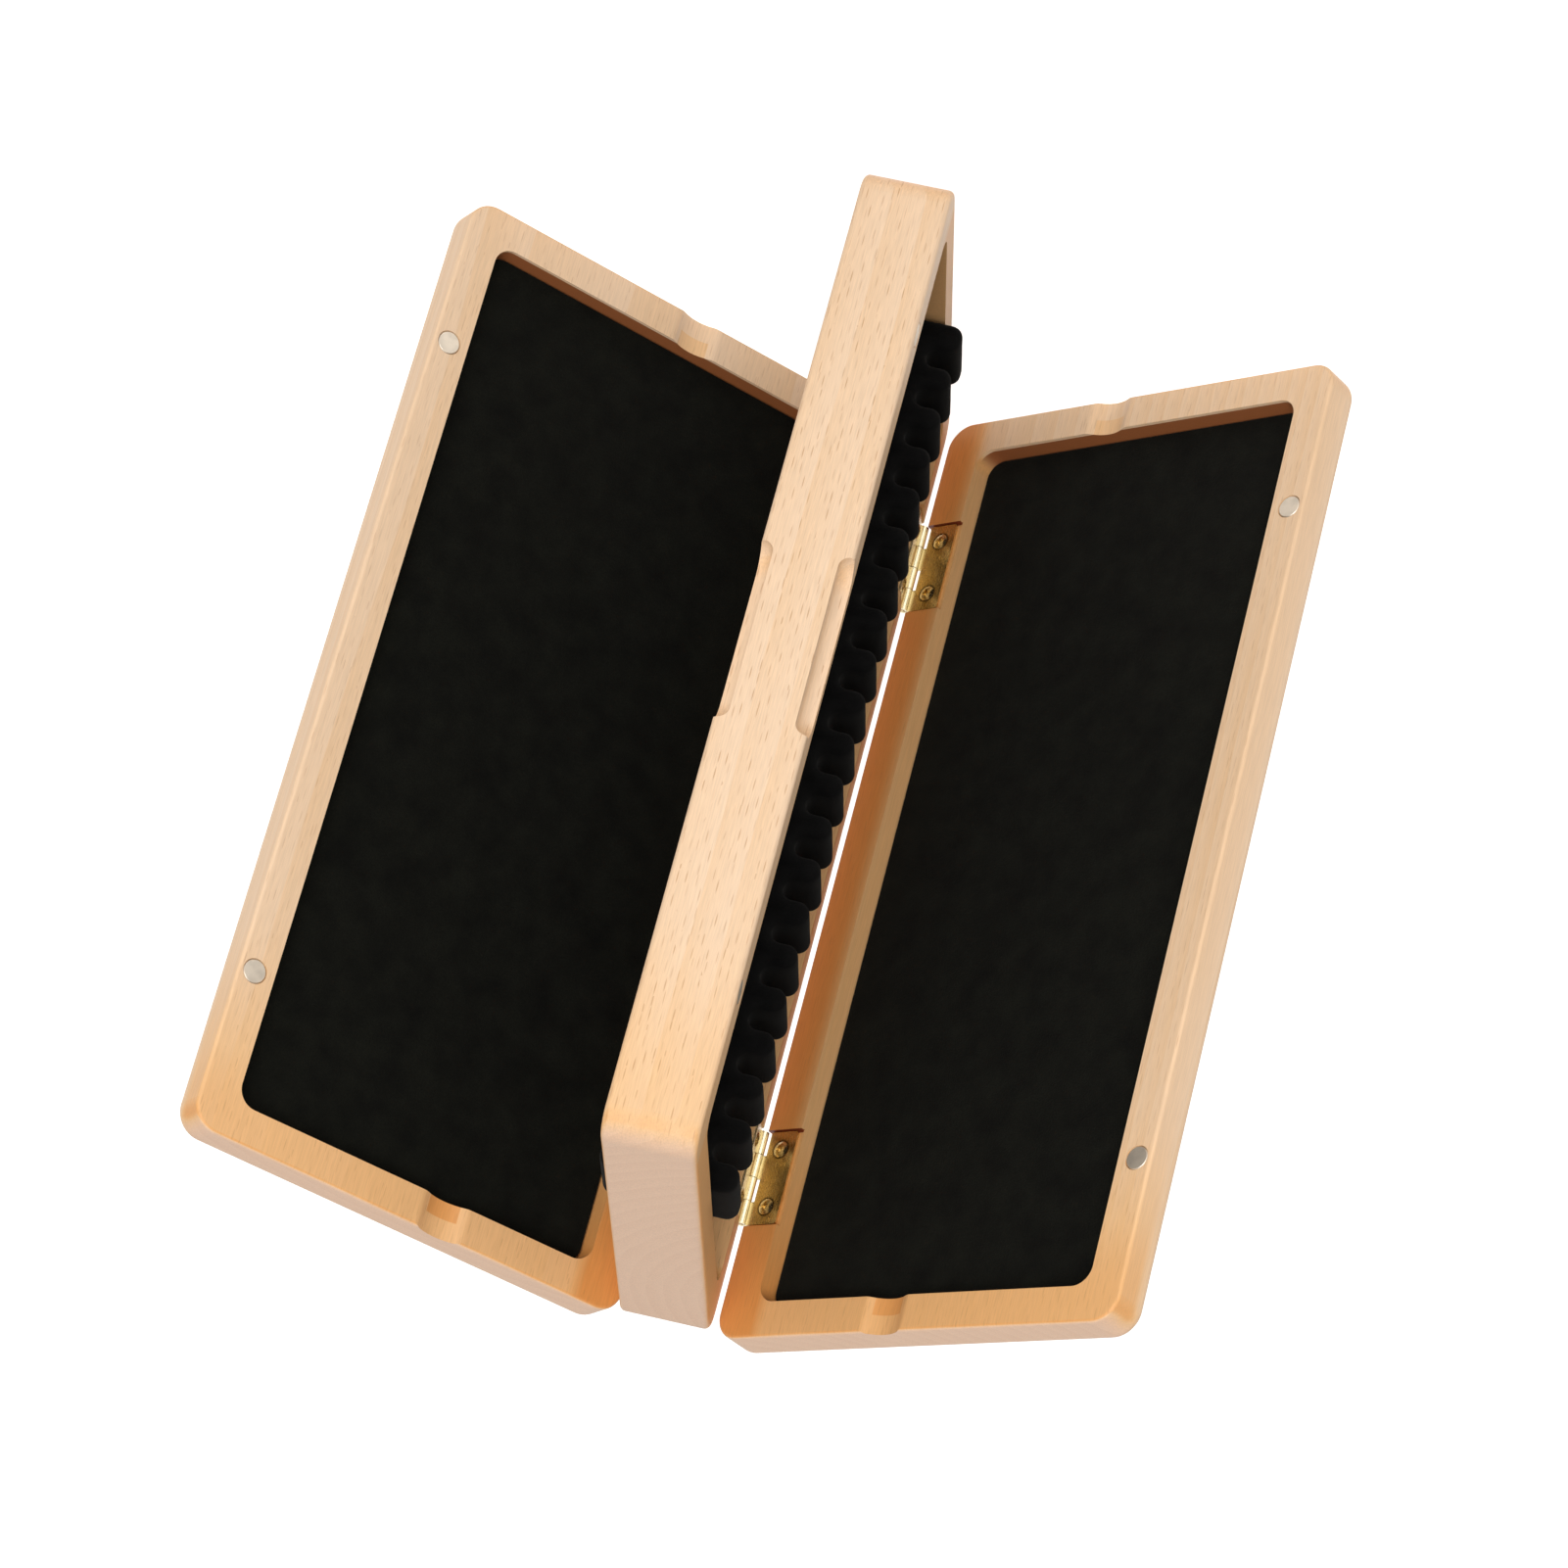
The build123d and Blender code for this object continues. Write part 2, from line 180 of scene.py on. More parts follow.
class ReedCaseMetal(PropertyGroup):
    """Polished brass and nickel."""

    brass_colour: colour_property("Brass", "dcc698", "Rolled brass sheet of the hinges")
    # Painted reflection: the barrels are painted paler, as if they mirrored the white room
    barrel_reflection_colour: colour_property("Polished Brass", "f6ecca", "Barrels kept bright by turning")
    tarnish_colour: colour_property("Tarnish", "bfa56a", "Brass that fingers have dulled")
    # Painted shade: the dark ring round each screw head stands for the shade in the gap round it
    gap_shade_colour: colour_property("Grime", "3a2a12", "Old polish caught round the screw heads")
    nickel_colour: colour_property("Nickel", "d6cbbb", "Plating of the magnets")
    scuff_colour: colour_property("Scuffs", "a79f93", "Nickel rubbed by the facing magnet")
    head_dome: length_property("Head Dome", 0.45, "How far a screw's head stands proud")
    brass_roughness: share_property("Brass Roughness", 0.26, "Roughness of the polished sheet")
    nickel_roughness: share_property("Nickel Roughness", 0.48, "Roughness of the plating")


class ReedCaseStage(PropertyGroup):
    """Floor, lamps and camera."""

    floor_colour: colour_property("Floor", "f4f4f4", "Paper that the case stands on")
    right_power: power_property("Right Lamp", 7.6, "Large soft lamp on the case's right")
    left_power: power_property("Left Lamp", 7.6, "Large soft lamp on the case's left")
    lamp_size: length_property("Lamp Size", 800, "Side of a square lamp")
    lamp_place: FloatVectorProperty(
        name="Lamp Place", description="Where the right lamp stands; the left one mirrors it",
        subtype="TRANSLATION", unit="LENGTH", size=3, default=(0.15, -1.3, 0.96))
    sky: FloatProperty(
        name="Room Light", description="Even light from all round", default=0.42, min=0)
    sky_colour: colour_property("Room Colour", "fff3e6", "Colour of the even light")
    glow: FloatProperty(
        name="Paper Glow", description="Light that the paper adds of its own", default=0.85, min=0)
    lens: FloatProperty(
        name="Lens", description="Focal length on a 36 mm sensor", default=131.842, min=1)
    camera_place: FloatVectorProperty(
        name="Camera Place", description="Where the camera stands", subtype="TRANSLATION",
        unit="LENGTH", size=3, default=(-0.12839, -1.00405, 0.57392))
    camera_turn: FloatVectorProperty(
        name="Camera Turn", description="How the camera is turned", subtype="EULER", size=3,
        default=[math.radians(angle) for angle in (-64.6598, 13.7175, 179.1773)])


# Small tools for node trees, meshes and pieces
def add_node(tree, kind, sockets=(), **settings):
    """Adds one node: sockets pairs an input with a value or with the output that feeds it."""
    made = tree.nodes.new(kind)
    for setting, value in settings.items():
        setattr(made, setting, value)
    for socket, value in dict(sockets).items():
        if isinstance(value, bpy.types.NodeSocket):
            tree.links.new(value, made.inputs[socket])
        else:
            made.inputs[socket].default_value = value
    return made


def opaque(colour):
    """A colour with full alpha."""
    return (*colour, 1.0)


def scale_for(cell):
    """Scale along each axis of a pattern whose cells have this size."""
    return [1 / side for side in cell]


def new_material(name):
    """An empty material and its tree."""
    material = bpy.data.materials.new(name)
    material.use_nodes = True
    material.node_tree.nodes.clear()
    return material, material.node_tree


def wear(name, material):
    """Gives a kept node its finish."""
    mesh = frame["nodes"][name].data
    mesh.materials.clear()
    mesh.materials.append(material)


def mesh_from(shape, name):
    """The mesh that a finished shape makes; the shape itself is freed."""
    mesh = bpy.data.meshes.new(name)
    shape.to_mesh(mesh)
    shape.free()
    return mesh


def finished_piece(name, mesh, material, body, node):
    """Puts a made mesh in the scene in place of a node."""
    mesh.name = name
    mesh.materials.clear()
    mesh.materials.append(material)
    piece = bpy.data.objects.new(name, mesh)
    bpy.context.scene.collection.objects.link(piece)
    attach(piece, body)
    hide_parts(node)
    return piece


def joint_of(side):
    """The joint of one lid: its pin's place and its range from shut to open."""
    return next(joint for joint in frame["joints"] if joint["name"] == f"{side}_lid_hinge")


def pin_of(side):
    """A point on the pin line of one lid."""
    return Vector(joint_of(side)["pos_m"])


def lid_turn(side):
    """How far a lid stands open at rest, as a turn about its pin."""
    return math.radians(-min(joint_of(side)["range_deg"]))


def board_axes(side, board):
    """Across a board from the pin, up its length, and out of its inner face."""
    sign = SIDES[side]
    if board == "frame":
        across, outwards = Vector((0, -1, 0)), Vector((sign, 0, 0))
    else:
        turn = lid_turn(side)
        across = Vector((sign * math.sin(turn), -math.cos(turn), 0))
        outwards = Vector((-sign * math.cos(turn), -math.sin(turn), 0))
    return across, Vector((0, 0, 1)), outwards


def spans(node, axes, origin=Vector((0, 0, 0))):
    """How far a node reaches from the origin along each axis, lowest and highest."""
    places = [[(vertex.co - origin).dot(axis) for vertex in frame["nodes"][node].data.vertices]
              for axis in axes]
    return [(min(along), max(along)) for along in places]


def lid_marks(side):
    """What marks a lid's wood: its pin, edges and mortises, and the oil and painted shade on its
    rims.
    """
    axes = board_axes(side, "lid")
    reaches = spans(f"{side}_lid", axes, pin_of(side))
    below_leaf = 0.2 * MM
    burns = [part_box(f"{side}_{place}_hinge_lid_leaf")[0].z - below_leaf
             for place in ("lower", "upper")]
    return SimpleNamespace(
        pin=pin_of(side), across=axes[0], outwards=axes[2], across_reach=reaches[0],
        height_reach=reaches[2], burns=burns, rim_oil_and_shade=RIM_OIL_AND_SHADE[side])


# Finishes
def ray_flecks(tree, wood, place, grain, ray_axis, darkness, through):
    """Rays: each cell of wood holds one, far longer than it is wide.
    They show as short dark flecks on the faces that cut across them."""
    ray_reach = 12 * MM
    cells = [ray_reach, wood.fleck_space]
    slimness = [0, wood.fleck_space / wood.fleck_width]
    if not through:
        cells.reverse()
        slimness.reverse()
    ray_cells = add_node(tree, "ShaderNodeMapping", {
        "Vector": grain, "Scale": scale_for((*cells, wood.fleck_stride))})
    rays = add_node(tree, "ShaderNodeTexVoronoi", {
        "Vector": ray_cells.outputs[0], "Scale": 1.0, "Randomness": 0.9})
    from_ray = add_node(tree, "ShaderNodeVectorMath", {
        0: ray_cells.outputs[0], 1: rays.outputs["Position"]}, operation="SUBTRACT")
    ray_form = add_node(tree, "ShaderNodeVectorMath", {
        0: from_ray.outputs[0], 1: (*slimness, wood.fleck_stride / wood.fleck_length),
    }, operation="MULTIPLY")
    distance = add_node(tree, "ShaderNodeVectorMath", {0: ray_form.outputs[0]}, operation="LENGTH")
    core = add_node(tree, "ShaderNodeMapRange", {
        "Value": distance.outputs["Value"], "From Min": 0.2, "From Max": 0.55,
        "To Min": 1.0, "To Max": 0.0}, interpolation_type="SMOOTHSTEP")
    luck = add_node(tree, "ShaderNodeSeparateColor", {"Color": rays.outputs["Color"]})
    strength = add_node(tree, "ShaderNodeMapRange", {
        "Value": luck.outputs[0], "From Min": 0.1, "From Max": 1.0,
        "To Min": 0.1 * darkness, "To Max": darkness})
    mark = add_node(tree, "ShaderNodeMath", {0: core.outputs[0], 1: strength.outputs[0]},
                    operation="MULTIPLY")
    along_ray = add_node(tree, "ShaderNodeVectorMath", {
        0: place["Normal"], 1: ray_axis}, operation="DOT_PRODUCT")
    facing = add_node(tree, "ShaderNodeMath", {0: along_ray.outputs["Value"]}, operation="ABSOLUTE")
    shown = add_node(tree, "ShaderNodeMapRange", {
        "Value": facing.outputs[0], "From Min": 0.4, "From Max": 0.9,
    }, interpolation_type="SMOOTHSTEP")
    return add_node(tree, "ShaderNodeMath", {0: mark.outputs[0], 1: shown.outputs[0]},
                    operation="MULTIPLY").outputs[0]


def growth_rings(tree, wood, grain, tone, end_share):
    """Pale early wood and denser late wood, pinker where the fibres are cut across."""
    ring_cells = add_node(tree, "ShaderNodeMapping", {"Vector": grain, "Scale": (1, 1, 0.12)})
    # At a scale of one the texture makes a ring every 0.314 m
    spacing_at_one = 0.314
    rings = add_node(tree, "ShaderNodeTexWave", {
        "Vector": ring_cells.outputs[0], "Scale": spacing_at_one / wood.ring_spacing,
        "Distortion": 2.2, "Detail": 2.0, "Detail Scale": 0.6,
    }, wave_type="RINGS", rings_direction="Z", wave_profile="SAW")
    late = add_node(tree, "ShaderNodeMath", {0: rings.outputs["Fac"], 1: tone},
                    operation="MULTIPLY")
    long_colour, end_colour = [
        add_node(tree, "ShaderNodeMix", {0: late.outputs[0], 6: opaque(early), 7: opaque(dense)},
                 data_type="RGBA").outputs[2]
        for early, dense in ((wood.face_colour, wood.deep_colour),
                             (wood.end_colour, wood.end_ring_colour))]
    return add_node(tree, "ShaderNodeMix", {0: end_share, 6: long_colour, 7: end_colour},
                    data_type="RGBA").outputs[2]


def inside_recess(tree, lid, across, height, inner):
    """One inside a lid's recess, nothing on its rims and outer faces."""
    rim_width, lip = 5 * MM, 0.8 * MM
    low, high = lid.across_reach
    below_rim = add_node(tree, "ShaderNodeMath", {0: height, 1: lid.height_reach[1] - lip},
                         operation="LESS_THAN")
    between_rims = add_node(tree, "ShaderNodeMath", {
        0: across, 1: (low + high) / 2, 2: (high - low) / 2 - rim_width}, operation="COMPARE")
    over_floor = add_node(tree, "ShaderNodeMath", {0: inner, 1: between_rims.outputs[0]},
                          operation="MULTIPLY")
    return add_node(tree, "ShaderNodeMath", {
        0: over_floor.outputs[0], 1: below_rim.outputs[0]}, operation="MULTIPLY").outputs[0]


def lid_oil_and_shade(tree, wood, lid, across, recess):
    """Share of oil and painted shade on a lid: full at its hinged edge, less in its recess and
    least on its rims.
    """
    full_to, fades_to = 6 * MM, 13 * MM
    # Painted shade with oil: the wood by the hinge lies in shade between lid and frame and is
    # painted a deeper orange
    edge = add_node(tree, "ShaderNodeMapRange", {
        "Value": across, "From Min": full_to, "From Max": fades_to,
        "To Min": wood.deepening_strength, "To Max": lid.rim_oil_and_shade * wood.deepening_strength,
    }, interpolation_type="SMOOTHSTEP")
    # Painted shade with oil inside the recess
    hollow = add_node(tree, "ShaderNodeMath", {0: recess, 1: 0.42 * wood.deepening_strength},
                      operation="MULTIPLY")
    return add_node(tree, "ShaderNodeMath", {0: edge.outputs[0], 1: hollow.outputs[0]},
                    operation="MAXIMUM").outputs[0]


def frame_painted_shade(tree, wood, position):
    """Share of painted shade on the frame: it starts behind the finger pockets and thins at the
    back.
    """
    front, back = (corner.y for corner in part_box("centre_frame"))
    pocket_depth, full_behind, thins_from, thin_by = 6 * MM, 9 * MM, 1.5 * MM, 0.2 * MM
    # Painted shade: the frame's sides and bays, which lie in shade, are painted a deeper orange
    # than its front
    behind_pockets = add_node(tree, "ShaderNodeMapRange", {
        "Value": position.outputs["Y"],
        "From Min": front + pocket_depth, "From Max": front + full_behind,
        "To Max": 0.55 * wood.deepening_strength}, interpolation_type="SMOOTHSTEP")
    before_back = add_node(tree, "ShaderNodeMapRange", {
        "Value": position.outputs["Y"],
        "From Min": back - thins_from, "From Max": back - thin_by,
        "To Min": 1.0, "To Max": 0.15}, interpolation_type="SMOOTHSTEP")
    return add_node(tree, "ShaderNodeMath", {
        0: behind_pockets.outputs[0], 1: before_back.outputs[0]}, operation="MULTIPLY").outputs[0]


def oiled(tree, wood, colour, oil):
    """Wood deepened by oil and painted shade: honey coloured at first, then a deep orange."""
    for start, end, deeper in ((0.0, 0.6, wood.honey_colour), (0.4, 0.95, wood.deep_orange_colour)):
        share = add_node(tree, "ShaderNodeMapRange", {
            "Value": oil, "From Min": start, "From Max": end})
        colour = add_node(tree, "ShaderNodeMix", {
            0: share.outputs[0], 6: colour, 7: opaque(deeper)}, data_type="RGBA").outputs[2]
    return colour


def scorched(tree, wood, lid, colour, position, across, height):
    """The cutter scorched the lower end of each mortise; painted shade deepens it further, since
    that wall lies in shade.
    """
    mortise_reach, below_pin, half_depth, half_burn = 9.3 * MM, 0.75 * MM, 0.6 * MM, 0.3 * MM
    sunk = add_node(tree, "ShaderNodeMath", {0: height, 1: -below_pin, 2: half_depth},
                    operation="COMPARE")
    near = add_node(tree, "ShaderNodeMath", {0: across, 1: mortise_reach}, operation="LESS_THAN")
    inside = add_node(tree, "ShaderNodeMath", {0: sunk.outputs[0], 1: near.outputs[0]},
                      operation="MULTIPLY")
    for burn in lid.burns:
        here = add_node(tree, "ShaderNodeMath", {0: position.outputs["Z"], 1: burn, 2: half_burn},
                        operation="COMPARE")
        burn_and_shade = add_node(tree, "ShaderNodeMath", {0: here.outputs[0], 1: inside.outputs[0]},
                          operation="MULTIPLY")
        colour = add_node(tree, "ShaderNodeMix", {
            0: burn_and_shade.outputs[0], 6: colour, 7: opaque(wood.burnt_and_shade_colour),
        }, data_type="RGBA").outputs[2]
    return colour


def beech(name, turn, shift, ray_axis, flecks, lid=None):
    """Planed and oiled beech: pale, close grained, with short dark rays and pinker end grain.
    The grain runs up Z and the rays along ray_axis. A lid gives its own marks."""
    wood = bpy.context.scene.reed_case_wood
    material, tree = new_material(name)
    place = add_node(tree, "ShaderNodeTexCoord").outputs
    grain = add_node(tree, "ShaderNodeMapping", {
        "Vector": place["Object"], "Rotation": (0, 0, -turn), "Location": shift}).outputs[0]
    fleck = ray_flecks(tree, wood, place, grain, ray_axis, flecks, lid is not None)
    # Cut ends are the faces square to the grain at the board's two ends
    position = add_node(tree, "ShaderNodeSeparateXYZ", {"Vector": place["Object"]})
    normal = add_node(tree, "ShaderNodeSeparateXYZ", {"Vector": place["Normal"]})
    end_amount = add_node(tree, "ShaderNodeMath", {0: normal.outputs["Z"]}, operation="ABSOLUTE")
    end_face = add_node(tree, "ShaderNodeMapRange", {
        "Value": end_amount.outputs[0], "From Min": 0.35, "From Max": 0.95,
    }, interpolation_type="SMOOTHSTEP")
    end_wall = 4 * MM
    inner = add_node(tree, "ShaderNodeMath", {
        0: position.outputs["Z"], 1: HALF_LENGTH, 2: HALF_LENGTH - end_wall}, operation="COMPARE")
    end_share = add_node(tree, "ShaderNodeMath", {
        0: end_face.outputs[0], 1: inner.outputs[0]}, operation="SUBTRACT", use_clamp=True)
    long_share = add_node(tree, "ShaderNodeMath", {0: 1.0, 1: end_share.outputs[0]},
                          operation="SUBTRACT")
    # Single fibres are too fine to show, so bundles are drawn, far longer than they are wide
    slimness = 24
    fibres = (wood.fibre_width, wood.fibre_width, slimness * wood.fibre_width)
    fibre, tone = [
        add_node(tree, "ShaderNodeTexNoise", {
            "Vector": add_node(tree, "ShaderNodeMapping", {
                "Vector": grain, "Scale": scale_for(cell)}).outputs[0],
            "Scale": 1.0, "Detail": 3.0, "Roughness": roughness}).outputs["Fac"]
        for cell, roughness in ((fibres, 0.6), (WOOD_TONE, 0.55))]
    colour = growth_rings(tree, wood, grain, tone, end_share.outputs[0])
    # Deeper orange: oil and painted shade at the lids' hinged edges and in their recesses, painted
    # shade on the frame behind its front, and a deeper tone towards the upper end
    if lid:
        from_pin = add_node(tree, "ShaderNodeVectorMath", {
            0: place["Object"], 1: lid.pin}, operation="SUBTRACT")
        across, height = [
            add_node(tree, "ShaderNodeVectorMath", {0: from_pin.outputs[0], 1: axis},
                     operation="DOT_PRODUCT").outputs["Value"]
            for axis in (lid.across, lid.outwards)]
        recess = inside_recess(tree, lid, across, height, inner.outputs[0])
        deepening_near = lid_oil_and_shade(tree, wood, lid, across, recess)
    else:
        deepening_near = frame_painted_shade(tree, wood, position)
    # The colour deepens towards the upper end
    top, starts_below, full_below = 2 * HALF_LENGTH, 48 * MM, 4 * MM
    deepening_high = add_node(tree, "ShaderNodeMapRange", {
        "Value": position.outputs["Z"],
        "From Min": top - starts_below, "From Max": top - full_below,
        "To Max": (0.48 if lid else 0.35) * wood.deepening_strength}, interpolation_type="SMOOTHSTEP")
    deepening_most = add_node(tree, "ShaderNodeMath", {0: deepening_near, 1: deepening_high.outputs[0]},
                        operation="ADD" if lid else "MAXIMUM", use_clamp=True)
    deepening = add_node(tree, "ShaderNodeMath", {0: deepening_most.outputs[0], 1: long_share.outputs[0]},
                        operation="MULTIPLY")
    if lid:
        # The backs stay pale: the oil and painted shade thin out from the rims to the outer faces
        outer, rim = lid.height_reach
        bare_to, full_from = 0.5 * MM, 4 * MM
        rim_share = add_node(tree, "ShaderNodeMapRange", {
            "Value": height, "From Min": outer + bare_to, "From Max": rim - full_from,
        }, interpolation_type="SMOOTHSTEP")
        deepening = add_node(tree, "ShaderNodeMath", {
            0: deepening.outputs[0], 1: rim_share.outputs[0]}, operation="MULTIPLY")
    arris = add_node(tree, "ShaderNodeMath", {0: end_amount.outputs[0], 1: 0.5},
                     operation="PINGPONG")
    rubbed = add_node(tree, "ShaderNodeMath", {0: arris.outputs[0], 1: tone}, operation="MULTIPLY")
    # Oil, painted shade and rubbed arrises together set how deep the orange goes
    oil = add_node(tree, "ShaderNodeMath", {0: deepening.outputs[0], 1: rubbed.outputs[0]},
                   operation="ADD", use_clamp=True)
    colour = oiled(tree, wood, colour, oil.outputs[0])
    if lid:
        # Painted shade on the recess's cut end walls
        soak = add_node(tree, "ShaderNodeMath", {0: recess, 1: end_face.outputs[0]},
                        operation="MULTIPLY")
        colour = add_node(tree, "ShaderNodeMix", {
            0: soak.outputs[0], 6: colour, 7: opaque(wood.recess_shade_colour),
        }, data_type="RGBA").outputs[2]
    # The lids' streaks are gentler than the frame's. The range also paints light: the lids a little
    # lighter and the frame a little darker, to balance how the lamps light them
    shade = add_node(tree, "ShaderNodeMapRange", {
        "Value": fibre, "From Min": 0.3, "From Max": 0.7,
        "To Min": 0.92 if lid else 0.85, "To Max": 1.06 if lid else 1.03})
    streaked = add_node(tree, "ShaderNodeVectorMath", {0: colour, "Scale": shade.outputs[0]},
                        operation="SCALE")
    colour = add_node(tree, "ShaderNodeMix", {
        0: fleck, 6: streaked.outputs[0], 7: opaque(wood.fleck_colour),
    }, data_type="RGBA").outputs[2]
    # Scorch with painted shade at the mortises' lower ends
    if lid:
        colour = scorched(tree, wood, lid, colour, position, across, height)
    gloss = add_node(tree, "ShaderNodeMapRange", {
        "Value": fibre, "To Min": wood.roughness - 0.08, "To Max": wood.roughness + 0.1})
    pores = add_node(tree, "ShaderNodeMath", {0: fleck, 1: -0.5, 2: fibre},
                     operation="MULTIPLY_ADD")
    relief = add_node(tree, "ShaderNodeBump", {
        "Height": pores.outputs[0], "Strength": 0.35, "Distance": 0.05 * MM})
    shader = add_node(tree, "ShaderNodeBsdfPrincipled", {
        "Base Color": colour, "Roughness": gloss.outputs[0], "Normal": relief.outputs[0],
        "Coat Weight": 0.12, "Coat Roughness": 0.35})
    add_node(tree, "ShaderNodeOutputMaterial", {"Surface": shader.outputs[0]})
    return material


def cloth(name, colour, fibre_size, sheen):
    """Black wool or cotton pile: it drinks light, and its tips catch a grey edge."""
    finish = bpy.context.scene.reed_case_cloth
    material, tree = new_material(name)
    place = add_node(tree, "ShaderNodeTexCoord").outputs["Object"]
    # Single hairs are too fine to show, so tufts of them are drawn
    hairs = add_node(tree, "ShaderNodeTexNoise", {
        "Vector": place, "Scale": 1 / fibre_size, "Detail": 3.0, "Roughness": 0.7})
    # The tone drifts over about 17 tufts
    drifts_per_tuft = 0.06
    drifts = add_node(tree, "ShaderNodeTexNoise", {
        "Vector": place, "Scale": drifts_per_tuft / fibre_size, "Detail": 2.0})
    depth = add_node(tree, "ShaderNodeMath", {0: hairs.outputs["Fac"], 1: drifts.outputs["Fac"]},
                     operation="MULTIPLY")
    shade = add_node(tree, "ShaderNodeMapRange", {
        "Value": depth.outputs[0], "From Min": 0.1, "From Max": 0.45, "To Min": 0.4, "To Max": 1.8})
    colour_here = add_node(tree, "ShaderNodeVectorMath", {
        0: tuple(colour), "Scale": shade.outputs[0]}, operation="SCALE")
    relief = add_node(tree, "ShaderNodeBump", {
        "Height": hairs.outputs["Fac"], "Strength": 0.6, "Distance": fibre_size * 0.6})
    shader = add_node(tree, "ShaderNodeBsdfPrincipled", {
        "Base Color": colour_here.outputs[0], "Roughness": 0.95, "Specular IOR Level": 0.1,
        "Sheen Weight": sheen, "Sheen Roughness": 0.4, "Sheen Tint": opaque(finish.nap_colour),
        "Normal": relief.outputs[0]})
    add_node(tree, "ShaderNodeOutputMaterial", {"Surface": shader.outputs[0]})
    return material


def metal(name, colour, worn_colour, roughness, scratch, heads=(), pin=None):
    """Polished or plated metal with faint brushing and dull patches.
    A dark ring of painted shade round each screw head stands for the shaded gap round the head, and
    a painted reflection makes the barrel round the pin paler."""
    finish = bpy.context.scene.reed_case_metal
    material, tree = new_material(name)
    place = add_node(tree, "ShaderNodeTexCoord").outputs["Object"]
    patches = add_node(tree, "ShaderNodeTexNoise", {
        "Vector": place, "Scale": 1 / DULL_PATCH, "Detail": 3.0})
    dull = add_node(tree, "ShaderNodeMapRange", {
        "Value": patches.outputs["Fac"], "From Min": 0.45, "From Max": 0.75, "To Max": 0.6})
    brush_cells = add_node(tree, "ShaderNodeMapping", {
        "Vector": place, "Scale": scale_for(scratch)})
    brushing = add_node(tree, "ShaderNodeTexNoise", {
        "Vector": brush_cells.outputs[0], "Scale": 1.0, "Detail": 2.0})
    tint = add_node(tree, "ShaderNodeMix", {
        0: dull.outputs[0], 6: opaque(colour), 7: opaque(worn_colour)}, data_type="RGBA")
    # Painted shade: a dark ring round each screw head, where the gap round it shades
    gap_shade_from, gap_shade_to = 0.1 * MM, 0.6 * MM
    for head, radius in heads:
        from_head = add_node(tree, "ShaderNodeVectorMath", {
            0: place, 1: head}, operation="DISTANCE")
        off_rim = add_node(tree, "ShaderNodeMath", {
            0: from_head.outputs["Value"], 1: radius}, operation="SUBTRACT")
        gap_shade = add_node(tree, "ShaderNodeMapRange", {
            "Value": off_rim.outputs[0], "From Min": gap_shade_from, "From Max": gap_shade_to,
            "To Min": 0.85, "To Max": 0.0}, interpolation_type="SMOOTHSTEP")
        tint = add_node(tree, "ShaderNodeMix", {
            0: gap_shade.outputs[0], 6: tint.outputs[2], 7: opaque(finish.gap_shade_colour),
        }, data_type="RGBA")
    # Painted reflection: the barrel round the pin is painted paler
    if pin:
        barrel_radius, leaf_from = 1.1 * MM, 1.4 * MM
        level = add_node(tree, "ShaderNodeVectorMath", {
            0: place, 1: (1, 1, 0)}, operation="MULTIPLY")
        from_pin = add_node(tree, "ShaderNodeVectorMath", {
            0: level.outputs[0], 1: (pin.x, pin.y, 0)}, operation="DISTANCE")
        barrel = add_node(tree, "ShaderNodeMapRange", {
            "Value": from_pin.outputs["Value"], "From Min": barrel_radius, "From Max": leaf_from,
            "To Min": 1.0, "To Max": 0.0})
        tint = add_node(tree, "ShaderNodeMix", {
            0: barrel.outputs[0], 6: tint.outputs[2], 7: opaque(finish.barrel_reflection_colour),
        }, data_type="RGBA")
    gloss = add_node(tree, "ShaderNodeMapRange", {
        "Value": brushing.outputs["Fac"], "To Min": roughness - 0.1, "To Max": roughness + 0.12})
    relief = add_node(tree, "ShaderNodeBump", {
        "Height": brushing.outputs["Fac"], "Strength": 0.1, "Distance": 0.01 * MM})
    shader = add_node(tree, "ShaderNodeBsdfPrincipled", {
        "Base Color": tint.outputs[2], "Metallic": 1.0, "Roughness": gloss.outputs[0],
        "Normal": relief.outputs[0]})
    add_node(tree, "ShaderNodeOutputMaterial", {"Surface": shader.outputs[0]})
    return material


class REEDCASE_OT_boards(Operator):
    """Finish the centre frame and the two lids in beech"""

    bl_idname = "reed_case.boards"
    bl_label = "Beech Boards"

    def execute(self, context):
        to_front = (0, 1, 0)
        # A shift of its own cuts each board from another place in the tree
        wear("centre_frame", beech(
            "beech_frame", turn=0, shift=(0.045, -0.03, 0.0), ray_axis=to_front, flecks=0.6))
        for side, sign in SIDES.items():
            marks = lid_marks(side)
            wear(f"{side}_lid", beech(
                f"beech_{side}_lid", turn=sign * lid_turn(side),
                shift=(0.09, 0.03 * sign, 0.21 * sign), ray_axis=marks.outwards, flecks=0.3,
                lid=marks))
            wear(f"{side}_rail_comb", beech(
                f"beech_{side}_comb", turn=0, shift=(0.05 * sign, 0.2, 0), ray_axis=to_front,
                flecks=0.5))
        return {"FINISHED"}


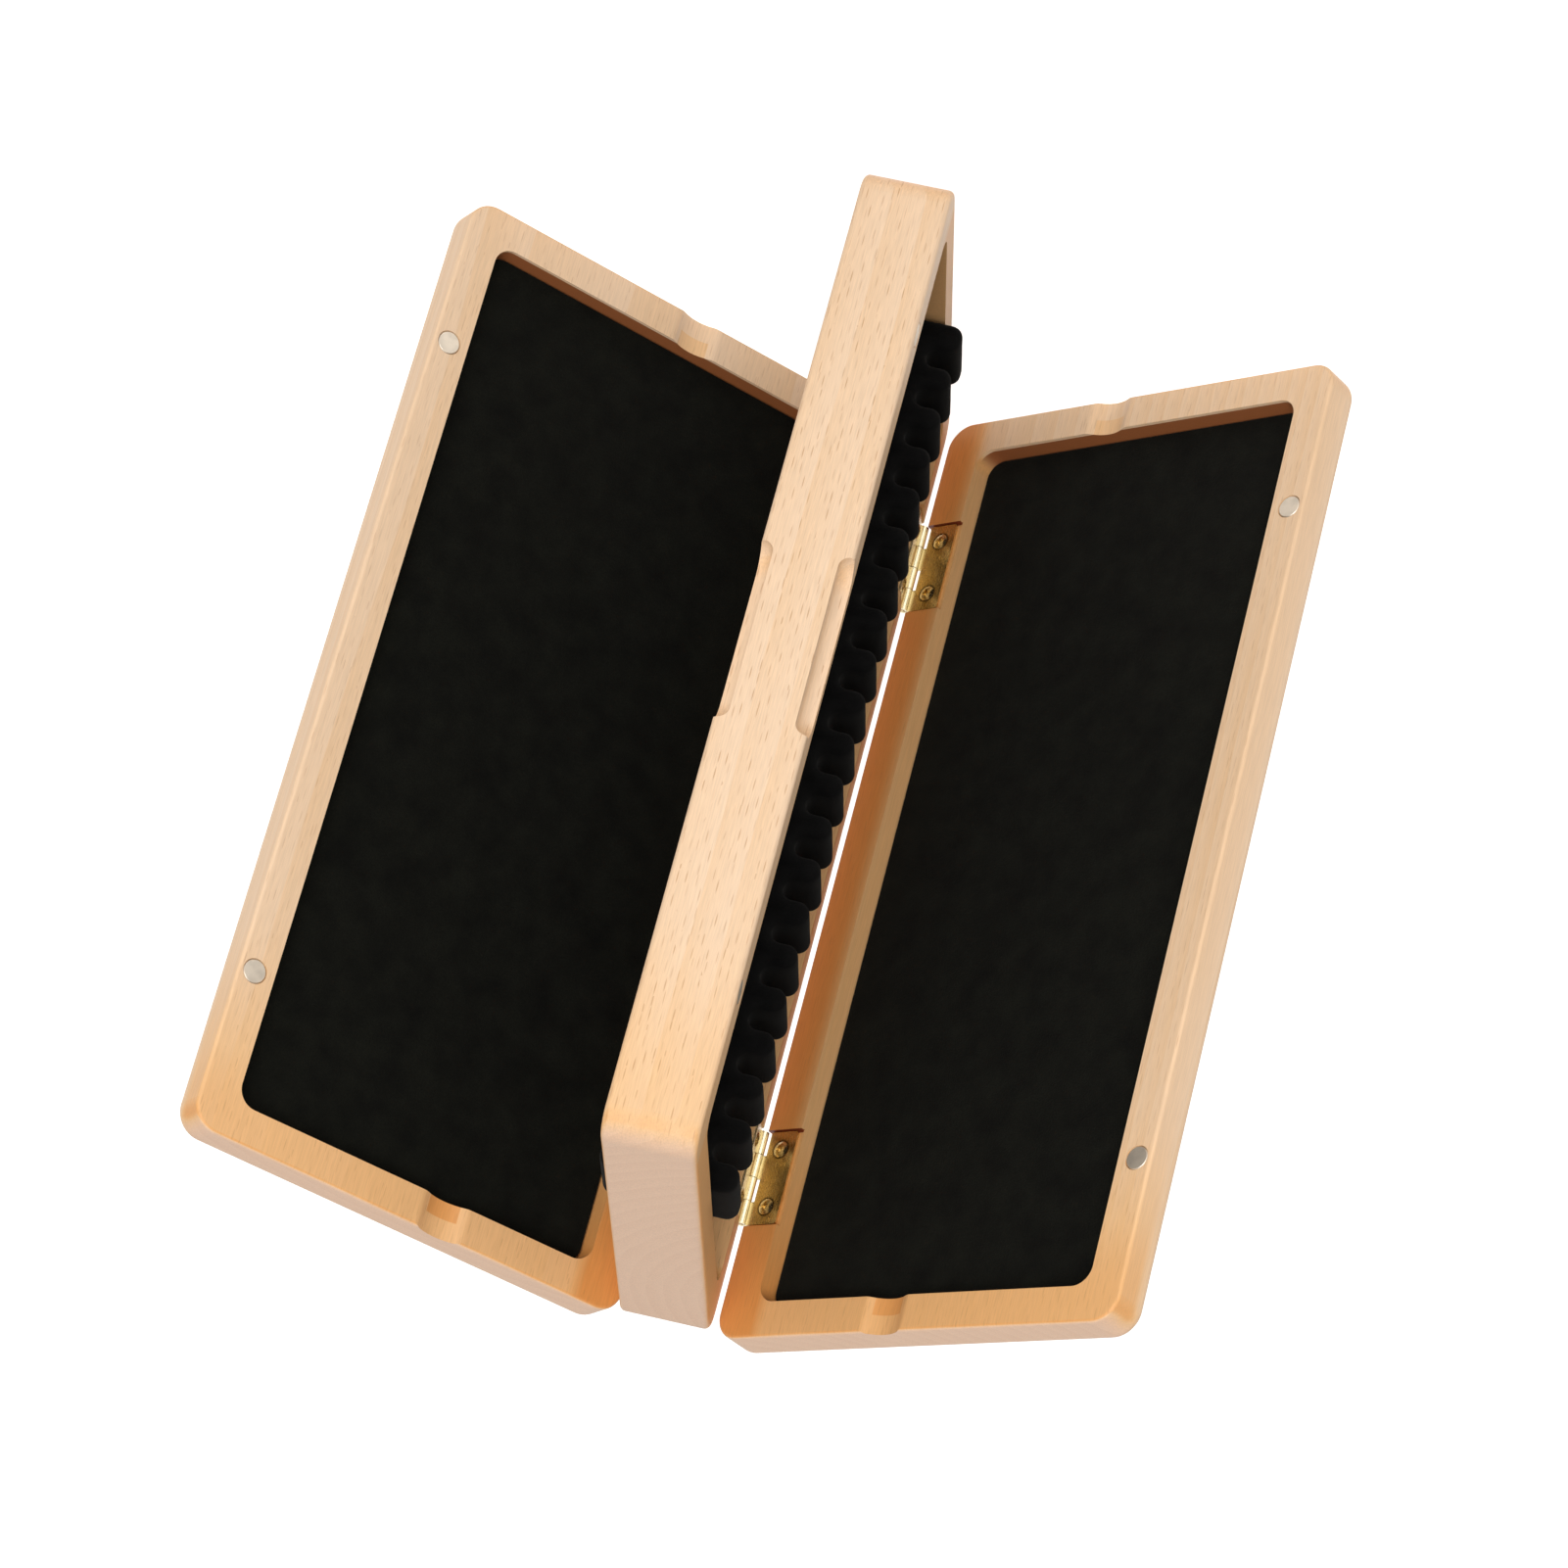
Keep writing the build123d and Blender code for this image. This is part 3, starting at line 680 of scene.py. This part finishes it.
class REEDCASE_OT_metalwork(Operator):
    """Finish the hinges and screws in brass and the magnets in nickel"""

    bl_idname = "reed_case.metalwork"
    bl_label = "Hinges, Screws and Magnets"

    def execute(self, context):
        finish = context.scene.reed_case_metal
        brass_look = (finish.brass_colour, finish.tarnish_colour, finish.brass_roughness)
        brass = metal("brass_sheet", *brass_look, SHEET_SCRATCH)
        screw_brass = metal("brass_turned", *brass_look, TURNED_SCRATCH)
        nickel = metal("nickel_plate", finish.nickel_colour, finish.scuff_colour,
                       finish.nickel_roughness, PLATE_SCRATCH)
        for name in frame["nodes"]:
            if name.endswith("_magnets"):
                wear(name, nickel)
            elif name.endswith("_screws"):
                wear(name, screw_brass)
            elif name.endswith("_pin"):
                wear(name, brass)
            elif name.endswith("_leaf"):
                side, board = name.split("_")[0], name.split("_")[3]
                axes = board_axes(side, board)
                across, up, out = spans(name.replace("_leaf", "_screws"), axes)
                radius = (across[1] - across[0]) / 2
                seat = axes[0] * sum(across) / 2 + axes[2] * (out[1] - finish.head_dome)
                heads = [(seat + axes[1] * z, radius) for z in (up[0] + radius, up[1] - radius)]
                wear(name, metal(name.replace("_leaf", "_brass"), *brass_look,
                                 SHEET_SCRATCH, heads, pin_of(side)))
        return {"FINISHED"}


def rounded_outline(width, length, radius, steps=8):
    """Corner points of a rounded rectangle round its middle."""
    points = []
    for quarter, (x, y) in enumerate(((1, 1), (-1, 1), (-1, -1), (1, -1))):
        centre = Vector((x * (width / 2 - radius), y * (length / 2 - radius)))
        for step in range(steps + 1):
            angle = math.pi / 2 * (quarter + step / steps)
            points.append(centre + Vector((math.cos(angle), math.sin(angle))) * radius)
    return points


def bridge(shape, lower, upper):
    """Joins two rings of as many points with a band of faces."""
    count = len(lower)
    for at in range(count):
        after = (at + 1) % count
        shape.faces.new((lower[at], lower[after], upper[after], upper[at]))


class REEDCASE_OT_felts(Operator):
    """Lay the four felt sheets in the lids and the frame's bays"""

    bl_idname = "reed_case.felts"
    bl_label = "Felt Sheets"

    def execute(self, context):
        finish = context.scene.reed_case_cloth
        felt = cloth("felt_pressed", finish.felt_colour, finish.felt_fibre, finish.felt_sheen)
        for side in SIDES:
            for place in ("lid", "bay"):
                self.lay(side, place, finish, felt)
        return {"FINISHED"}

    def lay(self, side, place, finish, felt):
        """One sheet, with its cut edge softened."""
        node = f"{side}_{place}_felt"
        axes = board_axes(side, "lid" if place == "lid" else "frame")
        across, up, out = spans(node, axes)
        middle = axes[0] * sum(across) / 2 + axes[1] * sum(up) / 2
        seat = middle + axes[2] * out[0]
        width, length = across[1] - across[0], up[1] - up[0]
        edge = finish.felt_edge
        steps = ((0, 0), (0, finish.felt_thickness - edge),
                 (0.3 * edge, finish.felt_thickness - 0.3 * edge), (edge, finish.felt_thickness))
        shape = bmesh.new()
        rings = []
        for inset, height in steps:
            outline = rounded_outline(width - 2 * inset, length - 2 * inset,
                                      finish.felt_corner - inset)
            rings.append([shape.verts.new((p.x, p.y, height)) for p in outline])
        for lower, upper in zip(rings, rings[1:]):
            bridge(shape, lower, upper)
        area = width * length
        if place == "bay":
            # The sheet has a hole that the rail stands in
            rail_lo, rail_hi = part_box(f"{side}_rail_velvet")
            hole_width = rail_hi.y - rail_lo.y + 2 * edge
            hole_length = rail_hi.z - rail_lo.z + 2 * edge
            offset = ((rail_lo + rail_hi) / 2).dot(axes[0]) - middle.dot(axes[0])
            hole_corner = 0.3 * MM
            hole = rounded_outline(hole_width, hole_length, hole_corner)
            foot, top = [[shape.verts.new((p.x + offset, p.y, height)) for p in hole]
                         for height in (0, finish.felt_thickness)]
            for lower, upper in ((top, foot), (rings[-1], top), (foot, rings[0])):
                bridge(shape, lower, upper)
            area -= hole_width * hole_length
        else:
            shape.faces.new(rings[-1])
            shape.faces.new(rings[0][::-1])
        bmesh.ops.recalc_face_normals(shape, faces=shape.faces)
        mesh = mesh_from(shape, node)
        turn = Matrix(axes).transposed().to_4x4()
        if turn.determinant() < 0:
            turn = turn @ Matrix.Scale(-1, 4, Vector((0, 1, 0)))
        mesh.transform(Matrix.Translation(seat) @ turn)
        lid = f"{side}_lid"
        body, rests = (lid, lid) if place == "lid" else ("frame", "centre_frame")
        piece = finished_piece(f"{side}_{place}_felt_sheet", mesh, felt, body, node)


# Velvet rails: one groove with half a rib on each side is repeated along the rail
def quarter_turn(steps=8):
    """Sine and cosine of even steps through a right angle."""
    angles = [math.pi / 2 * step / steps for step in range(steps + 1)]
    return [(math.sin(angle), math.cos(angle)) for angle in angles]


def groove_profile(finish, height):
    """Points from one rib's crest down through a groove to the next, with outward normals."""
    rib_radius = finish.rib_width / 2
    groove_radius = finish.groove_width / 2
    pitch = finish.rib_width + finish.groove_width
    crest = height - rib_radius
    valley = height - finish.groove_depth + groove_radius
    half = [(-pitch / 2 + rib_radius * out, crest + rib_radius * up, out, up)
            for out, up in quarter_turn()]
    wall_steps = 3
    half += [(-groove_radius, crest + (valley - crest) * step / wall_steps, 1.0, 0.0)
             for step in range(1, wall_steps)]
    half += [(-groove_radius * out, valley - groove_radius * up, out, up)
             for up, out in quarter_turn()]
    mirrored = [(-x, z, -nx, nz) for x, z, nx, nz in reversed(half[:-1])]
    return half + mirrored


def end_profile(finish, height):
    """Points from the last rib's crest down its outer side to the web."""
    rib_radius = finish.rib_width / 2
    crest = height - rib_radius
    land = finish.rail_end_land
    wall_steps = 8
    points = [(0.0, height, 0.0, 1.0)]
    points += [(land + rib_radius * out, crest + rib_radius * up, out, up)
               for out, up in quarter_turn()]
    points += [(land + rib_radius, crest * (1 - step / wall_steps), 1.0, 0.0)
               for step in range(1, wall_steps + 1)]
    return points


def padded_section(name, profile, finish, half_width):
    """A profile drawn across the rail and rounded over at its two ends."""
    round_radius, round_steps, flat_steps = finish.rib_end_round, 5, 8
    inner = half_width - round_radius
    rows = [(-inner - round_radius * out, round_radius * (1 - up))
            for up, out in quarter_turn(round_steps)]
    rounded = [(-across, inset) for across, inset in reversed(rows)]
    rows += [(inner * (2 * step / flat_steps - 1), 0.0) for step in range(1, flat_steps)]
    rows += rounded
    shape = bmesh.new()
    grid = []
    for across, inset in rows:
        grid.append([shape.verts.new((x - nx * inset, across, max(z - nz * inset, 0.0)))
                     for x, z, nx, nz in profile])
    for lower, upper in zip(grid, grid[1:]):
        for at in range(len(profile) - 1):
            shape.faces.new((lower[at], lower[at + 1], upper[at + 1], upper[at]))
    for line, flip in ((grid[0], False), (grid[-1], True)):
        across = line[0].co.y
        # A line that already reaches the web needs no foot there
        touching = 1e-9
        ends = [line[0]] if line[-1].co.z < touching else [line[-1], line[0]]
        loop = line + [shape.verts.new((end.co.x, across, 0)) for end in ends]
        shape.faces.new(loop if flip else loop[::-1])
    return mesh_from(shape, name)


def rail_tree():
    """Node tree that repeats the groove along the rail, closes both ends and makes it uneven."""
    tree = bpy.data.node_groups.new("reed_rail", "GeometryNodeTree")
    inputs = {"Groove": "Geometry", "Rail End": "Object", "Grooves": "Int", "Pitch": "Float",
              "Unevenness": "Float", "Seed": "Float", "Finish": "Material"}
    for name, kind in inputs.items():
        tree.interface.new_socket(name, in_out="INPUT", socket_type=f"NodeSocket{kind}")
    tree.interface.new_socket("Rail", in_out="OUTPUT", socket_type="NodeSocketGeometry")
    given = add_node(tree, "NodeGroupInput").outputs
    gaps = add_node(tree, "ShaderNodeMath", {0: given["Grooves"], 1: 1.0}, operation="SUBTRACT")
    reach = add_node(tree, "ShaderNodeMath", {0: gaps.outputs[0], 1: given["Pitch"]},
                     operation="MULTIPLY")
    start = add_node(tree, "ShaderNodeMath", {0: reach.outputs[0], 1: -0.5}, operation="MULTIPLY")
    start_at = add_node(tree, "ShaderNodeCombineXYZ", {"X": start.outputs[0]})
    step = add_node(tree, "ShaderNodeCombineXYZ", {"X": given["Pitch"]})
    line = add_node(tree, "GeometryNodeMeshLine", {
        "Count": given["Grooves"], "Start Location": start_at.outputs[0], "Offset": step.outputs[0],
    }, mode="OFFSET")
    grooves = add_node(tree, "GeometryNodeInstanceOnPoints", {
        "Points": line.outputs[0], "Instance": given["Groove"]})
    end_reach = add_node(tree, "ShaderNodeMath", {0: given["Grooves"], 1: given["Pitch"]},
                         operation="MULTIPLY")
    end_half = add_node(tree, "ShaderNodeMath", {0: end_reach.outputs[0], 1: 0.5},
                        operation="MULTIPLY")
    end_at = add_node(tree, "ShaderNodeCombineXYZ", {"X": end_half.outputs[0]})
    end_shape = add_node(tree, "GeometryNodeObjectInfo", {"Object": given["Rail End"]})
    far_end = add_node(tree, "GeometryNodeTransform", {
        "Geometry": end_shape.outputs["Geometry"], "Translation": end_at.outputs[0]})
    near_end = add_node(tree, "GeometryNodeTransform", {
        "Geometry": far_end.outputs[0], "Rotation": (0, 0, math.pi)})
    joined = add_node(tree, "GeometryNodeJoinGeometry")
    for part in (grooves.outputs[0], far_end.outputs[0], near_end.outputs[0]):
        tree.links.new(part, joined.inputs[0])
    real = add_node(tree, "GeometryNodeRealizeInstances", {0: joined.outputs[0]})
    welded = add_node(tree, "GeometryNodeMergeByDistance", {
        "Geometry": real.outputs[0], "Distance": 0.01 * MM})
    place = add_node(tree, "GeometryNodeInputPosition")
    drift = add_node(tree, "ShaderNodeTexNoise", {
        "Vector": place.outputs[0], "W": given["Seed"], "Scale": 1 / VELVET_DRIFT, "Detail": 1.0,
    }, noise_dimensions="4D")
    centred = add_node(tree, "ShaderNodeVectorMath", {
        0: drift.outputs["Color"], 1: (0.5, 0.5, 0.5)}, operation="SUBTRACT")
    moved = add_node(tree, "ShaderNodeVectorMath", {
        0: centred.outputs[0], "Scale": given["Unevenness"]}, operation="SCALE")
    uneven = add_node(tree, "GeometryNodeSetPosition", {
        "Geometry": welded.outputs[0], "Offset": moved.outputs[0]})
    smooth = add_node(tree, "GeometryNodeSetShadeSmooth", {0: uneven.outputs[0]})
    dressed = add_node(tree, "GeometryNodeSetMaterial", {
        "Geometry": smooth.outputs[0], "Material": given["Finish"]})
    add_node(tree, "NodeGroupOutput", {0: dressed.outputs[0]})
    return tree


class REEDCASE_OT_rails(Operator):
    """Cover both reed rails in velvet"""

    bl_idname = "reed_case.rails"
    bl_label = "Velvet Rails"

    def execute(self, context):
        finish = context.scene.reed_case_cloth
        velvet = cloth("velvet_black", finish.velvet_colour, finish.velvet_fibre,
                       finish.velvet_sheen)
        tree = rail_tree()
        for side, sign in SIDES.items():
            node = f"{side}_rail_velvet"
            low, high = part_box(node)
            web = min(abs(low.x), abs(high.x))
            half_width = (high.y - low.y) / 2
            height = max(abs(low.x), abs(high.x)) - web
            worker, end_worker = [
                bpy.data.objects.new(name, padded_section(name, profile, finish, half_width))
                for name, profile in (("groove", groove_profile(finish, height)),
                                      ("rail_end", end_profile(finish, height)))]
            for helper in (worker, end_worker):
                context.scene.collection.objects.link(helper)
            repeat = worker.modifiers.new("rail", "NODES")
            repeat.node_group = tree
            values = {
                "Rail End": end_worker, "Grooves": finish.groove_count,
                "Pitch": finish.rib_width + finish.groove_width,
                "Unevenness": finish.unevenness, "Seed": finish.seed + sign, "Finish": velvet,
            }
            for socket in tree.interface.items_tree:
                if socket.in_out == "INPUT" and socket.name in values:
                    repeat[socket.identifier] = values[socket.name]
            skin = worker.modifiers.new("skin", "SOLIDIFY")
            skin.thickness = finish.velvet_thickness
            skin.offset = -1
            depsgraph = context.evaluated_depsgraph_get()
            mesh = bpy.data.meshes.new_from_object(worker.evaluated_get(depsgraph))
            for helper in (worker, end_worker):
                bpy.data.objects.remove(helper)
            along, outwards = Vector((0, 0, 1)), Vector((sign, 0, 0))
            turn = Matrix((along, outwards.cross(along), outwards)).transposed().to_4x4()
            middle = (low + high) / 2
            seat = Vector((sign * web, middle.y, middle.z))
            mesh.transform(Matrix.Translation(seat) @ turn)
            piece = finished_piece(f"{side}_rail_velvet_cover", mesh, velvet, "frame",
                                   node)
        return {"FINISHED"}


class REEDCASE_OT_stage(Operator):
    """Set the white floor, the lamps, the room light and the camera"""

    bl_idname = "reed_case.stage"
    bl_label = "Stage and Camera"

    def execute(self, context):
        scene = context.scene
        stage = scene.reed_case_stage
        self.floor(scene, stage)
        self.room(scene, stage)
        self.lamp(scene, stage, "right_lamp", stage.right_power, 1)
        self.lamp(scene, stage, "left_lamp", stage.left_power, -1)
        camera_data = bpy.data.cameras.new("camera")
        camera_data.lens = stage.lens
        camera_data.clip_start = 0.01
        camera = bpy.data.objects.new("camera", camera_data)
        camera.location = stage.camera_place
        camera.rotation_euler = Euler(stage.camera_turn, "XYZ")
        scene.collection.objects.link(camera)
        scene.camera = camera
        scene.view_settings.view_transform = "Standard"
        return {"FINISHED"}

    def seen(self, tree):
        """One for rays from the camera, a mirror or glass."""
        path = add_node(tree, "ShaderNodeLightPath").outputs
        first = add_node(tree, "ShaderNodeMath", {
            0: path["Is Camera Ray"], 1: path["Is Glossy Ray"]}, operation="MAXIMUM")
        return add_node(tree, "ShaderNodeMath", {
            0: first.outputs[0], 1: path["Is Transmission Ray"]}, operation="MAXIMUM").outputs[0]

    def floor(self, scene, stage):
        """White paper under the case, which glows enough to be white and keeps the shadow."""
        half = 4.0
        shape = bmesh.new()
        shape.faces.new([shape.verts.new((x * half, y * half, 0))
                         for x, y in ((-1, -1), (1, -1), (1, 1), (-1, 1))])
        mesh = mesh_from(shape, "floor")
        material, tree = new_material("paper_white")
        glow = add_node(tree, "ShaderNodeMath", {0: self.seen(tree), 1: stage.glow},
                        operation="MULTIPLY")
        light = add_node(tree, "ShaderNodeEmission", {"Strength": glow.outputs[0]})
        paper = add_node(tree, "ShaderNodeBsdfDiffuse", {"Color": opaque(stage.floor_colour)})
        both = add_node(tree, "ShaderNodeAddShader", {0: light.outputs[0], 1: paper.outputs[0]})
        add_node(tree, "ShaderNodeOutputMaterial", {"Surface": both.outputs[0]})
        mesh.materials.append(material)
        floor = bpy.data.objects.new("floor", mesh)
        scene.collection.objects.link(floor)

    def room(self, scene, stage):
        """Even room light, white where it is seen."""
        world = bpy.data.worlds.new("room")
        world.use_nodes = True
        tree = world.node_tree
        tree.nodes.clear()
        seen = self.seen(tree)
        even = add_node(tree, "ShaderNodeBackground", {
            "Color": opaque(stage.sky_colour), "Strength": stage.sky})
        white = add_node(tree, "ShaderNodeBackground", {"Color": (1, 1, 1, 1), "Strength": 1.0})
        light = add_node(tree, "ShaderNodeMixShader", {
            0: seen, 1: even.outputs[0], 2: white.outputs[0]})
        add_node(tree, "ShaderNodeOutputWorld", {"Surface": light.outputs[0]})
        scene.world = world

    def lamp(self, scene, stage, name, power, sign):
        """One soft square lamp turned to the middle of the case."""
        light = bpy.data.lights.new(name, "AREA")
        light.energy = power
        light.size = stage.lamp_size
        lamp = bpy.data.objects.new(name, light)
        lamp.location = Vector(stage.lamp_place) * Vector((sign, 1, 1))
        aim = Vector((0, 0, HALF_LENGTH)) - lamp.location
        lamp.rotation_euler = aim.to_track_quat("-Z", "Y").to_euler()
        scene.collection.objects.link(lamp)


STEPS = ("boards", "metalwork", "felts", "rails", "stage")


class REEDCASE_PT_panel(Panel):
    """Lists the pieces and the values of the reed case"""

    bl_label = "Reed Case"
    bl_idname = "REEDCASE_PT_panel"
    bl_space_type = "VIEW_3D"
    bl_region_type = "UI"
    bl_category = "Reed Case"

    def draw(self, context):
        for step in STEPS:
            self.layout.operator(f"reed_case.{step}")
        for group in GROUPS:
            box = self.layout.box()
            values = getattr(context.scene, group)
            for name in values.bl_rna.properties.keys():
                if name not in ("rna_type", "name"):
                    box.prop(values, name)


GROUPS = {
    "reed_case_wood": ReedCaseWood,
    "reed_case_cloth": ReedCaseCloth,
    "reed_case_metal": ReedCaseMetal,
    "reed_case_stage": ReedCaseStage,
}
CLASSES = (
    *GROUPS.values(), REEDCASE_OT_boards, REEDCASE_OT_metalwork, REEDCASE_OT_felts,
    REEDCASE_OT_rails, REEDCASE_OT_stage, REEDCASE_PT_panel,
)


def register():
    for entry in CLASSES:
        bpy.utils.register_class(entry)
    for name, group in GROUPS.items():
        setattr(bpy.types.Scene, name, PointerProperty(type=group))


def unregister():
    for name in GROUPS:
        delattr(bpy.types.Scene, name)
    for entry in reversed(CLASSES):
        bpy.utils.unregister_class(entry)


def main():
    register()
    for step in STEPS:
        getattr(bpy.ops.reed_case, step)()


if __name__ == "__main__":
    main()
